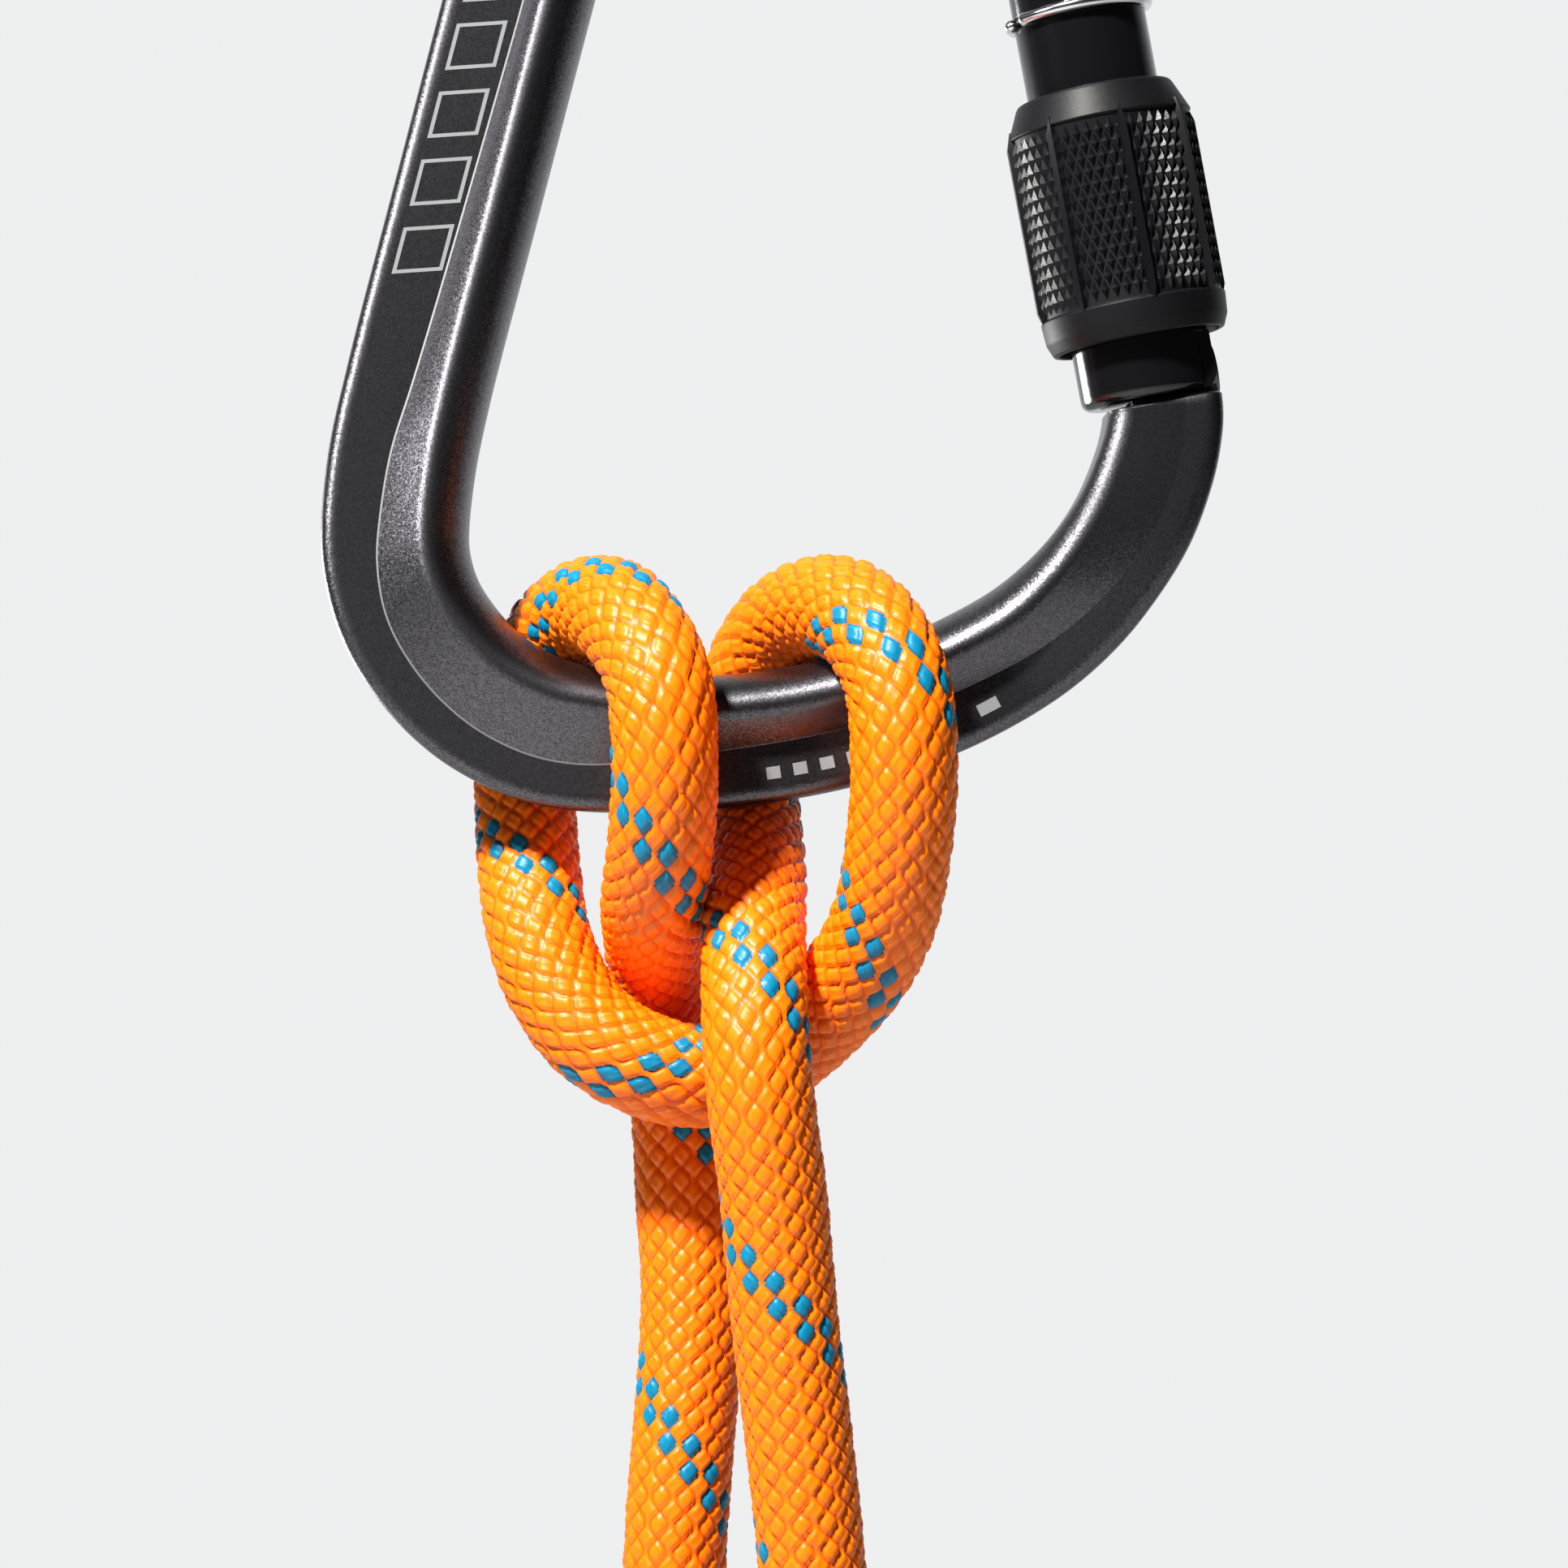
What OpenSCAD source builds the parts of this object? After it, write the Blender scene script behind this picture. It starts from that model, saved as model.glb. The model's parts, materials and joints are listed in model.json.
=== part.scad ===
// Pear-shaped screw-gate carabiner with a rope clove-hitched to its wide bow.
// Millimetres. +Z up, +X from the spine to the gate, +Y to the back.
// The origin is the seat at the inner top of the narrow bow, where an anchor or sling sits.

/* [Narrow bow and hinge] */
// Radius of the narrow bow's bar centreline
bow_r = 18.5; // [17.5:0.5:18.5]
// Radius of the hinge rivet
rivet_r = 2.0; // [1.8:0.1:2.2]
// How far the gate leans outwards, in degrees
gate_lean = 10.5; // [10:0.5:11]

/* [Bar section] */
// Height of the small step between the flange and the rib
step_h = 0.3; // [0.2:0.05:0.4]
// How far the rib's round reaches in from the inner edge
rib_reach = 3.9; // [3.6:0.1:5]
// Fillet along the outer edge
edge_fillet = 1.2; // [0.8:0.1:1.5]

/* [Gate] */
// Length of the gate below its hinge
gate_length = 63.4; // [63:0.1:63.6]
// Radius of the gate's upper tube
gate_r = 5.95; // [5.8:0.05:6]
// Radius of the gate's threaded lower tube
thread_r = 6.2; // [6.1:0.05:6.22]
// Lead of the two-start sleeve thread
thread_lead = 4; // [3:0.5:4]
// Width of the slot round the hinge tongue
hinge_slot_w = 5.0; // [4.9:0.1:5.2]
// Width of the slot round the nose neck
nose_slot_w = 3.8; // [3.7:0.1:4]

/* [Screw sleeve] */
// Length of the sleeve
sleeve_length = 22.8; // [22:0.1:23]
// Radius over the knurling
sleeve_r = 8.65; // [8.4:0.05:8.8]
// Distance from the hinge down to the sleeve's top rim
sleeve_top = 35.2; // [35:0.1:35.5]
// Number of long ribs round the knurling
rib_count = 8; // [6:1:12]

/* [Rope] */
// Diameter of the rope's plain tube, a little under the rope's own 9.4
rope_d = 9.2; // [9:0.1:9.2]
// Number of sides of the rope's tube
rope_sides = 10; // [8:1:12]

/* [Hidden] */
$fn = 48;

// Bar: each station is x, z, bar width, flange width, flange half-thickness, rib half-thickness
bow_z = -12;
bow_from = 15;
bow_to = 165;
bow_step = 10;
hinge_end = [11.6, 3.6, 5.0, 5.4];
bow_mid = [12.8, 6.6, 3.4, 6.0];
spine_bar = [13.1, 7.2, 3.3, 6.0];
bar_by_hand = [
    [-22.0, -23.0, 13.1, 7.2, 3.3, 6.0], [-26.5, -40.0, 13.1, 7.2, 3.3, 6.0],
    [-31.2, -58.0, 13.1, 6.8, 3.3, 6.0], [-34.1, -69.0, 13.1, 6.5, 3.3, 6.0],
    [-35.6, -75.0, 13.1, 6.2, 3.3, 6.0], [-36.9, -81.0, 13.2, 5.7, 3.3, 6.0],
    [-37.6, -87.0, 13.2, 5.4, 3.3, 6.0], [-37.4, -91.0, 13.2, 5.0, 3.3, 6.0],
    [-36.2, -95.0, 13.3, 4.6, 3.3, 6.0], [-34.0, -98.6, 13.4, 4.4, 3.3, 6.0],
    [-31.2, -101.7, 13.4, 4.3, 3.3, 6.0], [-28.0, -104.0, 13.4, 4.2, 3.3, 6.0],
    [-24.0, -105.8, 13.3, 4.2, 3.3, 6.0], [-19.5, -106.6, 13.1, 4.3, 3.3, 6.0],
    [-14.0, -106.9, 12.5, 4.8, 3.3, 6.0], [-8.5, -106.8, 12.1, 5.2, 3.3, 6.0],
    [-2.0, -106.0, 11.9, 5.3, 3.3, 6.0], [4.0, -104.7, 11.8, 5.3, 3.3, 6.0],
    [10.0, -102.8, 11.7, 5.2, 3.3, 6.0], [15.2, -100.4, 11.6, 5.0, 3.4, 6.0],
    [19.8, -97.6, 11.4, 4.6, 3.7, 5.9], [23.6, -94.3, 11.2, 4.2, 4.2, 5.8],
    [26.7, -90.6, 10.9, 3.8, 4.7, 5.6], [29.1, -86.7, 10.8, 3.6, 5.0, 5.5],
    [30.8, -82.4, 10.6, 3.5, 5.1, 5.4], [31.6, -79.0, 10.4, 3.5, 5.1, 5.4],
    [31.7, -76.5, 10.3, 3.5, 5.1, 5.4]];
bar_end_lead = [31.1, -73.0, 10.3, 3.5, 5.1, 5.4];
bar_steps = 2;
bevel_reach = 1.8;
bevel_drop = 1.6;

// Hinge, in the carabiner's plane
hinge = [19.1, -13.6];
tongue_t = 4.6;
tongue_eye_r = 4.2;
cam_at = [-2.0, -2.2];
cam_r = 2.4;
bore_gap = 0.02;
running_gap = 0.05;

// Nose key, in the gate's own frame: x outwards, z down from the hinge
key_z = -61.6;
key_r = 2.2;
key_in = -1.8;
key_out = 6.3;
neck_t = 3.4;
shoulder_z = -64.1;

// Inside the gate
gate_bore_r = 3.0;
bore_floor = -27;
hinge_slot_floor = -9;
thread_from = -41.5;
thread_pitch = 2;
thread_depth = 0.4;
ring_z = -27.9;
ring_wire_r = 0.5;
ring_r = 6.25;
plunger_top = -4.72;
plunger_r = 2.9;
plunger_h = 5.2;
spring_wire = 0.6;
spring_r = 2.3;
spring_turns = 8;

// Inside the sleeve
sleeve_lip_r = 6.3;
sleeve_thread_r = 6.28;
sleeve_mouth_r = 7.35;
groove_z = -40;
groove_r = 7.45;
groove_h = 1.2;
o_ring_r = 6.85;
o_ring_wire_r = 0.4;

// Rope: route of its centreline from the tail in the front eye to the tail in the back eye
rope_route = [
    [0.5, -21, -192], [0.5, -21, -205], [0.5, -21.5, -216], [0.5, -26, -224], [0.5, -30.5, -232],
    [0.5, -31.5, -240.5], [0.5, -27, -249], [0.5, -16, -253.5], [0.5, -5, -249], [0.5, -0.5, -240.5],
    [0.5, -1.5, -232], [0.5, -6, -224], [0.5, -10.5, -216], [0.5, -11, -200],
    [0, -11, -180], [-2.5, -11, -157], [-3.5, -11.5, -146], [-4.5, -12, -138.5], [-5, -11, -132.5],
    [-5, -8, -127.5], [-5, -3.5, -123], [-5, 1.5, -119], [-5.5, 6, -115], [-6, 9, -110.5],
    [-6, 10.5, -105.5], [-5.5, 9.5, -101], [-3.5, 7, -97], [-1, 3.5, -95], [1.5, -0.5, -94.5],
    [4, -4.5, -95.5], [6, -8, -98], [7.5, -10, -101.5], [8, -11, -106.5], [8, -10.5, -112],
    [7.5, -9, -117], [6.5, -6.5, -122.5], [4, -3.5, -127.5], [0.5, -1, -131.5], [-3, 0, -134.5],
    [-7, 0, -136.5], [-11.5, -1, -137], [-16, -1.5, -135.5], [-20, -1, -133], [-23, 0.5, -129],
    [-25, 2.5, -124], [-26, 6, -118], [-26.5, 9, -112], [-26.5, 10.5, -106], [-25.5, 10, -101],
    [-24, 7.5, -97.5], [-21.5, 4, -95], [-19, 0, -94.5], [-17, -4, -95.5], [-15, -7.5, -98],
    [-13.5, -10, -101.5], [-13, -11, -106], [-13, -10.5, -111], [-13.5, -8, -116.5], [-14.5, -3.5, -121],
    [-14.5, 2, -124.5], [-14, 6, -128.5], [-13, 9, -134], [-12, 9.5, -141], [-11.5, 8.5, -149.5],
    [-11, 7.5, -159], [-12.5, 5, -181],
    [-13, 5, -200], [-13, 4.5, -216], [-13, 0, -224], [-13, -4.5, -232], [-13, -5.5, -240.5],
    [-13, -1, -249], [-13, 10, -253.5], [-13, 21, -249], [-13, 25.5, -240.5], [-13, 24.5, -232],
    [-13, 20, -224], [-13, 15.5, -216], [-13, 15, -205], [-13, 15, -192]];

// Eye covers: the shrunk sleeves over the stitched tails
cover_r = 6.1;
cover_top = -187;
cover_bottom = -215;
front_cover = [0.5, -16];
back_cover = [-13, 10];
cover_spread = 10;

// Points and directions
function mixed(a, b, t) = a + (b - a) * t;
function smooth(a, b, c, d, t) =
    ((2 * b) + (c - a) * t + (2 * a - 5 * b + 4 * c - d) * t * t + (3 * b - a - 3 * c + d) * t * t * t) / 2;
function unit(v) = v / norm(v);

// The narrow bow's stations follow its arc, then the hand-set ones follow
bow_stations = [for (a = [bow_from : bow_step : bow_to])
    let (t = (a - bow_from) / (bow_to - bow_from),
         shape = t < 0.5 ? mixed(hinge_end, bow_mid, t * 2) : mixed(bow_mid, spine_bar, t * 2 - 1))
    concat([bow_r * cos(a), bow_z + bow_r * sin(a)], shape)];
stations = concat(bow_stations, bar_by_hand);
bow_lead = concat([bow_r * cos(bow_from - bow_step), bow_z + bow_r * sin(bow_from - bow_step)], hinge_end);
all_stations = concat([bow_lead], stations, [bar_end_lead]);
bar = concat([for (i = [1 : len(all_stations) - 3], s = [0 : bar_steps - 1])
    smooth(all_stations[i - 1], all_stations[i], all_stations[i + 1], all_stations[i + 2], s / bar_steps)],
    [stations[len(stations) - 1]]);

// One half of the bar's section, from the outer edge to the inner, u inwards and v towards the face.
// The round rib fades to a small bevel where the bar is a flat block, near the hinge and the nose.
function half_section(w, flange, f, t) =
    let (rise = min(step_h, (t - f) / 3),
         foot = -w / 2 + flange + rise,
         ribbed = max(0, min(1, (t - f - 0.3) / 2.1)),
         reach = mixed(bevel_reach, rib_reach, ribbed),
         drop = mixed(bevel_drop, t, ribbed),
         crest = w / 2 - reach)
    concat([[-w / 2, f - edge_fillet], [-w / 2 + 0.3 * edge_fillet, f - 0.3 * edge_fillet],
            [-w / 2 + edge_fillet, f], [-w / 2 + flange, f], [foot, f + rise]],
        [for (s = [0.3, 0.6]) [mixed(foot, crest, s), mixed(f + rise, t, (1 - cos(180 * s)) / 2)]],
        [for (a = [90 : -22.5 : 22.5]) [crest + reach * cos(a), t - drop * (1 - sin(a))]]);
function full_section(w, flange, f, t) =
    let (half = half_section(w, flange, f, t), n = len(half))
    concat(half, [[w / 2, 0]], [for (i = [n - 1 : -1 : 0]) [half[i][0], -half[i][1]]]);

// A skin over rings of points, closed at both ends
module skin(rings) {
    n = len(rings[0]);
    m = len(rings);
    sides = [for (i = [0 : m - 2], j = [0 : n - 1]) let (k = (j + 1) % n)
        each [[i * n + j, i * n + k, (i + 1) * n + j], [i * n + k, (i + 1) * n + k, (i + 1) * n + j]]];
    ends = [[for (j = [n - 1 : -1 : 0]) j], [for (j = [0 : n - 1]) (m - 1) * n + j]];
    polyhedron([for (ring = rings) each ring], concat(sides, ends), convexity = 8);
}

// Places children in the gate's own frame, hinge at its origin
module in_gate() translate([hinge[0], 0, hinge[1]]) rotate([0, -gate_lean, 0]) children();

// A cylinder along Y, centred
module across(r, h) rotate([90, 0, 0]) cylinder(r = r, h = h, center = true);

module bar_body() {
    n = len(bar);
    skin([for (i = [0 : n - 1])
        let (s = bar[i],
             before = i == 0 ? bow_lead : bar[i - 1],
             after = i == n - 1 ? bar_end_lead : bar[i + 1],
             way = i == n - 1 ? unit([-sin(gate_lean), cos(gate_lean)])
                 : unit([after[0] - before[0], after[1] - before[1]]))
        [for (p = full_section(s[2], s[3], s[4], s[5]))
            [s[0] - way[1] * p[0], -p[1], s[1] + way[0] * p[0]]]]);
}

module hinge_tongue() {
    root_in = bow_r - 4.2;
    root_out = bow_r + 4.2;
    root_a = bow_from + 3;
    rotate([90, 0, 0]) linear_extrude(tongue_t, center = true) {
        translate(hinge) circle(tongue_eye_r);
        translate(hinge) rotate(gate_lean) translate(cam_at) circle(cam_r);
        polygon([hinge + [-tongue_eye_r, 0], hinge + [tongue_eye_r, 0],
                 [root_out * cos(root_a), bow_z + root_out * sin(root_a)],
                 [root_in * cos(root_a), bow_z + root_in * sin(root_a)]]);
    }
}

module nose_key() {
    in_gate() {
        translate([key_in, 0, key_z]) rotate([0, 90, 0]) cylinder(r = key_r, h = key_out - key_in);
        translate([key_in, -neck_t / 2, shoulder_z - 1])
            cube([key_out - key_in - 0.3, neck_t, key_z - shoulder_z + 1]);
    }
}

module frame() {
    color("#3a3a3d") difference() {
        union() {
            bar_body();
            hinge_tongue();
            nose_key();
        }
        translate([hinge[0], 0, hinge[1]]) across(rivet_r + bore_gap, 20);
    }
}

module hinge_rivet() {
    head_at = 5.1;
    head_h = 0.6;
    color("#c9c9cc") translate([hinge[0], 0, hinge[1]]) {
        across(rivet_r, 2 * head_at + 0.2);
        for (side = [0, 180]) rotate([90 + side, 0, 0]) translate([0, 0, head_at])
            cylinder(r1 = rivet_r + 0.8, r2 = rivet_r + 0.2, h = head_h);
    }
}

module gate_blank() {
    end_fillet = 0.9;
    grooves = [for (z = [thread_from - 1 : -thread_pitch : thread_from - 9])
        each [[thread_r, z], [thread_r - thread_depth, z - 0.5], [thread_r - thread_depth, z - 0.9],
              [thread_r, z - 1.4]]];
    fillet = [for (a = [0 : 22.5 : 90])
        [thread_r - end_fillet + end_fillet * cos(a), -gate_length + end_fillet - end_fillet * sin(a)]];
    ring_seat = [[gate_r, ring_z + 0.55], [gate_r - 0.3, ring_z + 0.55], [gate_r - 0.3, ring_z - 0.55],
                 [gate_r, ring_z - 0.55]];
    union() {
        intersection() {
            rotate_extrude() polygon(concat([[0, gate_r], [gate_r, gate_r]], ring_seat,
                [[gate_r, thread_from + 0.5], [thread_r, thread_from]], grooves, fillet,
                [[0, -gate_length]]));
            union() {
                across(gate_r, 3 * gate_r);
                translate([-10, -10, -gate_length - 1]) cube([20, 20, gate_length + 1]);
            }
        }
        cheek_flats();
    }
}

// Squares off the outer side of the cheeks, so that they cover the nose key; it clears the sleeve's mouth.
module cheek_flats() {
    out = 5.9;
    half_depth = 3.9;
    top = -58.3;
    corner = 1;
    arc = [for (a = [0 : 22.5 : 90])
        [out - corner + corner * cos(a), -gate_length + corner - corner * sin(a)]];
    translate([0, half_depth, 0]) rotate([90, 0, 0]) linear_extrude(2 * half_depth)
        polygon(concat([[0, top], [out, top]], arc, [[0, -gate_length]]));
}

module gate() {
    key_gap = 0.4;
    slot_in = key_in - 0.4;
    spot_r = rivet_r + 1.1;
    spot_at = 5.0;
    color("#0e0e10") in_gate() difference() {
        gate_blank();
        translate([0, 0, bore_floor]) cylinder(r = gate_bore_r, h = 40);
        translate([-10, -hinge_slot_w / 2, hinge_slot_floor]) cube([20, hinge_slot_w, 20]);
        translate([slot_in, 0, key_z]) rotate([0, 90, 0]) cylinder(r = key_r + key_gap, h = 10);
        translate([slot_in, -nose_slot_w / 2, -gate_length - 1])
            cube([10, nose_slot_w, gate_length + 1 + key_z]);
        across(rivet_r + running_gap, 20);
        for (side = [0, 180]) rotate([90 + side, 0, 0]) translate([0, 0, spot_at])
            cylinder(r = spot_r, h = 2);
    }
}

module gate_spring() {
    floor_z = bore_floor + 0.05;
    top_z = plunger_top - plunger_h - 0.05;
    per_turn = 10;
    rings = spring_turns * per_turn;
    rise = (top_z - floor_z - spring_wire) / rings;
    color("#b9bbc0") in_gate() skin([for (i = [0 : rings])
        let (a = 360 * i / per_turn)
        [for (b = [0 : 60 : 300]) let (r = spring_r + spring_wire / 2 * cos(b))
            [r * cos(a), r * sin(a), floor_z + spring_wire / 2 + rise * i + spring_wire / 2 * sin(b)]]]);
}

module spring_plunger() {
    dome = 0.6;
    color("#8f9297") in_gate() translate([0, 0, plunger_top - plunger_h]) {
        cylinder(r = plunger_r, h = plunger_h - dome);
        translate([0, 0, plunger_h - dome]) cylinder(r1 = plunger_r, r2 = plunger_r - dome / 2, h = dome);
    }
}

module stop_ring() {
    gap_half = 8;
    color("#d8d9dc") in_gate() translate([0, 0, ring_z]) rotate(200 + gap_half)
        rotate_extrude(angle = 360 - 2 * gap_half) translate([ring_r, 0]) circle(ring_wire_r, $fn = 16);
}

module sleeve_profile() {
    top = -sleeve_top;
    low = -sleeve_top - sleeve_length;
    collar_r = 8.5;
    shoulder_r = 8.35;
    relief_r = 6.7;
    ring_lead_r = 6.5;
    thread_top = -44;
    thread_floor = -50;
    outside = [[7.15, top], [7.9, top - 0.9], [shoulder_r, top - 2], [collar_r, top - 3],
               [sleeve_r, top - 3.2], [sleeve_r, low + 2.2], [collar_r, low + 2],
               [shoulder_r, low + 1.2], [7.95, low + 0.35], [7.7, low]];
    mouth_and_thread = [[sleeve_mouth_r, low], [sleeve_mouth_r, thread_floor - 1],
                        [sleeve_thread_r, thread_floor], [sleeve_thread_r, thread_top],
                        [relief_r, thread_top + 0.4], [relief_r, groove_z - groove_h / 2]];
    groove_and_lip = [[groove_r, groove_z - groove_h / 2], [groove_r, groove_z + groove_h / 2],
                      [ring_lead_r, groove_z + groove_h / 2], [ring_lead_r, top - 2],
                      [sleeve_lip_r, top - 1.6], [sleeve_lip_r, top]];
    polygon(concat(outside, mouth_and_thread, groove_and_lip));
}

module screw_sleeve() {
    rib_w = 0.6;
    rib_l = 17.4;
    color("#1b1b1e") in_gate() {
        rotate_extrude($fn = 72) sleeve_profile();
        for (i = [0 : rib_count - 1]) rotate(360 / rib_count * i - 82)
            translate([sleeve_r - 0.3, -rib_w / 2, -sleeve_top - sleeve_length / 2 - rib_l / 2])
                cube([0.4, rib_w, rib_l]);
    }
}

module sleeve_ring() {
    color("#4a3a30") in_gate() translate([0, 0, groove_z])
        rotate_extrude() translate([o_ring_r, 0]) circle(o_ring_wire_r, $fn = 16);
}

// The rope's rings turn from one to the next without twisting
function way_at(i) = unit(rope_route[min(i + 1, len(rope_route) - 1)] - rope_route[max(i - 1, 0)]);
function carried(side, way) = unit(side - way * (side * way));
function sides_from(side, i) = i == len(rope_route) ? []
    : let (s = carried(side, way_at(i))) concat([s], sides_from(s, i + 1));

module rope() {
    sides = sides_from([1, 0, 0], 0);
    color("#ff7a10") skin([for (i = [0 : len(rope_route) - 1])
        let (across_way = cross(way_at(i), sides[i]))
        [for (k = [0 : rope_sides - 1]) let (a = -360 * k / rope_sides)
            rope_route[i] + rope_d / 2 * (cos(a) * sides[i] + sin(a) * across_way)]]);
}

module eye_cover(at) {
    color("#202124") translate([at[0], at[1], cover_bottom])
        for (side = [-1, 1]) translate([0, side * cover_spread / 2, 0])
            cylinder(r = cover_r, h = cover_top - cover_bottom);
    color("#202124") translate([at[0] - cover_r, at[1] - cover_spread / 2, cover_bottom])
        cube([2 * cover_r, cover_spread, cover_top - cover_bottom]);
}
module eye_cover_front() eye_cover(front_cover);
module eye_cover_back() eye_cover(back_cover);

frame();
hinge_rivet();
gate();
gate_spring();
spring_plunger();
stop_ring();
screw_sleeve();
sleeve_ring();
rope();
eye_cover_front();
eye_cover_back();
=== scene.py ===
"""Screw-gate carabiner with a clove-hitched rope: the looks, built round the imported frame."""
import json
import math

import bmesh
import bpy
import numpy as np
from mathutils import Matrix, Vector
from mathutils.bvhtree import BVHTree
from mathutils.kdtree import KDTree


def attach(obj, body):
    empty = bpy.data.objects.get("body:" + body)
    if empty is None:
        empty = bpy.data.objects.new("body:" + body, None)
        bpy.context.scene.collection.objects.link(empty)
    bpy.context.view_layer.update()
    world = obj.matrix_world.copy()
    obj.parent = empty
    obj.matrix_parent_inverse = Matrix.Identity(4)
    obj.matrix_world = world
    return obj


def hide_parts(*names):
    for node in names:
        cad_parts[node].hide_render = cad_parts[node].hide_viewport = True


MM = 0.001
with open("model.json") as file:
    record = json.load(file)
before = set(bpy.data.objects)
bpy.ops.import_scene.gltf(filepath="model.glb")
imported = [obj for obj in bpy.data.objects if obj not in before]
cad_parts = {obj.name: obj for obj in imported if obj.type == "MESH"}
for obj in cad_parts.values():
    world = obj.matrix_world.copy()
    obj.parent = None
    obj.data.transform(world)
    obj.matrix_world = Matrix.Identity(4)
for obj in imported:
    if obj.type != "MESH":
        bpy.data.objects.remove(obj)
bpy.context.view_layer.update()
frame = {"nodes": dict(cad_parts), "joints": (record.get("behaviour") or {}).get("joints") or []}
scene = bpy.context.scene

# The gate's own frame: x outwards, z up, its origin on the hinge's axis
HINGE = next(j for j in frame["joints"] if j["name"] == "gate_hinge")["pos_m"]
GATE_UP = Vector(next(j for j in frame["joints"] if j["name"] == "sleeve_turn")["axis"])
GATE_LEAN = math.atan2(-GATE_UP.x, GATE_UP.z)
IN_GATE = Matrix.Translation(HINGE) @ Matrix.Rotation(-GATE_LEAN, 4, "Y")


# ---------------------------------------------------------------- camera and light

def camera():
    """The camera looks level along +Y, and sees 142 mm of the hitch from 360 mm away."""
    distance, width = 0.360, 0.142
    data = bpy.data.cameras.new("camera")
    data.sensor_width = 36
    data.lens = data.sensor_width * distance / width
    eye = bpy.data.objects.new("camera", data)
    eye.location = (-0.0025, -distance, -0.1106)
    eye.rotation_euler = (math.pi / 2, 0, 0)
    scene.collection.objects.link(eye)
    scene.camera = eye


def area_light(name, place, aim, size, watts, colour=(1, 1, 1)):
    """A round soft lamp turned towards a point."""
    data = bpy.data.lights.new(name, "AREA")
    data.shape, data.size, data.energy, data.color = "DISK", size, watts, colour
    lamp = bpy.data.objects.new(name, data)
    lamp.location = place
    lamp.rotation_euler = (Vector(aim) - Vector(place)).to_track_quat("-Z", "Y").to_euler()
    scene.collection.objects.link(lamp)
    return lamp


def gathered(name, pieces):
    """A collection of pieces, for a light that only falls on them."""
    made = bpy.data.collections.new(name)
    for piece in pieces:
        made.objects.link(piece)
    return made


def pale_room():
    """A world that is bright behind the object and dark behind the lens, seen as one pale grey."""
    world = bpy.data.worlds.new("studio")
    world.use_nodes = True
    tree = world.node_tree
    tree.nodes.clear()
    way = tree.nodes.new("ShaderNodeTexCoord")
    apart = tree.nodes.new("ShaderNodeSeparateXYZ")
    depth = tree.nodes.new("ShaderNodeMapRange")
    height = tree.nodes.new("ShaderNodeMapRange")
    lift = tree.nodes.new("ShaderNodeMath")
    lit, seen = tree.nodes.new("ShaderNodeBackground"), tree.nodes.new("ShaderNodeBackground")
    path, both = tree.nodes.new("ShaderNodeLightPath"), tree.nodes.new("ShaderNodeMixShader")
    out = tree.nodes.new("ShaderNodeOutputWorld")
    depth.interpolation_type = "SMOOTHSTEP"
    height.interpolation_type = "SMOOTHSTEP"
    for node, values in ((depth, (0.15, 0.95, 0.02, 0.85)), (height, (-0.5, 0.3, 0.03, 0.0))):
        for socket, value in zip(("From Min", "From Max", "To Min", "To Max"), values):
            node.inputs[socket].default_value = value
    lift.operation = "ADD"
    seen.inputs["Color"].default_value = (0.858, 0.862, 0.868, 1)
    lit.inputs["Color"].default_value = (0.97, 0.98, 1.0, 1)
    link = tree.links.new
    link(way.outputs["Generated"], apart.inputs[0])
    link(apart.outputs["Y"], depth.inputs["Value"])
    link(apart.outputs["Z"], height.inputs["Value"])
    link(depth.outputs["Result"], lift.inputs[0])
    link(height.outputs["Result"], lift.inputs[1])
    link(lift.outputs[0], lit.inputs["Strength"])
    link(path.outputs["Is Camera Ray"], both.inputs[0])
    link(lit.outputs[0], both.inputs[1])
    link(seen.outputs[0], both.inputs[2])
    link(both.outputs[0], out.inputs["Surface"])
    scene.world = world


def lights(forged, machined):
    """A key high on the left, and three soft lights on the left that only the metal catches."""
    aim = (-0.005, 0, -0.11)
    area_light("key", (-0.36, -0.50, 0.61), aim, 0.11, 28, (1, 0.985, 0.96))
    metals = gathered("metal_pieces", forged + machined)
    forging = gathered("forged_pieces", forged)
    for name, place, size, watts, lit_by_it in (("left", (-0.70, -0.32, 0.27), 0.36, 2.4, metals),
                                                ("left_back", (-0.50, 0.48, -0.19), 0.30, 4, metals),
                                                ("front_left", (-0.60, -0.52, 0.14), 0.22, 7, forging)):
        lamp = area_light(name, place, aim, size, watts, (1, 0.99, 0.99))
        lamp.light_linking.receiver_collection = lit_by_it


def plain(name, colour, roughness=0.9, metallic=0.0):
    """A material of one colour and finish."""
    made = bpy.data.materials.new(name)
    made.use_nodes = True
    shader = made.node_tree.nodes["Principled BSDF"]
    shader.inputs["Base Color"].default_value = (*colour, 1)
    shader.inputs["Roughness"].default_value = roughness
    shader.inputs["Metallic"].default_value = metallic
    return made


def stage():
    """A pale round floor well below the rope."""
    bpy.ops.mesh.primitive_circle_add(vertices=96, radius=1.25, fill_type="NGON", location=(0, 0, -0.46))
    floor = bpy.context.object
    floor.name = "floor"
    floor.data.materials.append(plain("pale_floor", (0.68, 0.68, 0.68)))


# ---------------------------------------------------------------- mesh helpers

def smooth_mesh(name, points, faces, material):
    """A smooth-shaded mesh in metres, with its finish."""
    mesh = bpy.data.meshes.new(name)
    mesh.from_pydata([tuple(p) for p in points], [], faces)
    mesh.update()
    mesh.materials.append(material)
    mesh.polygons.foreach_set("use_smooth", [True] * len(mesh.polygons))
    made = bpy.data.objects.new(name, mesh)
    scene.collection.objects.link(made)
    return made


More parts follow.
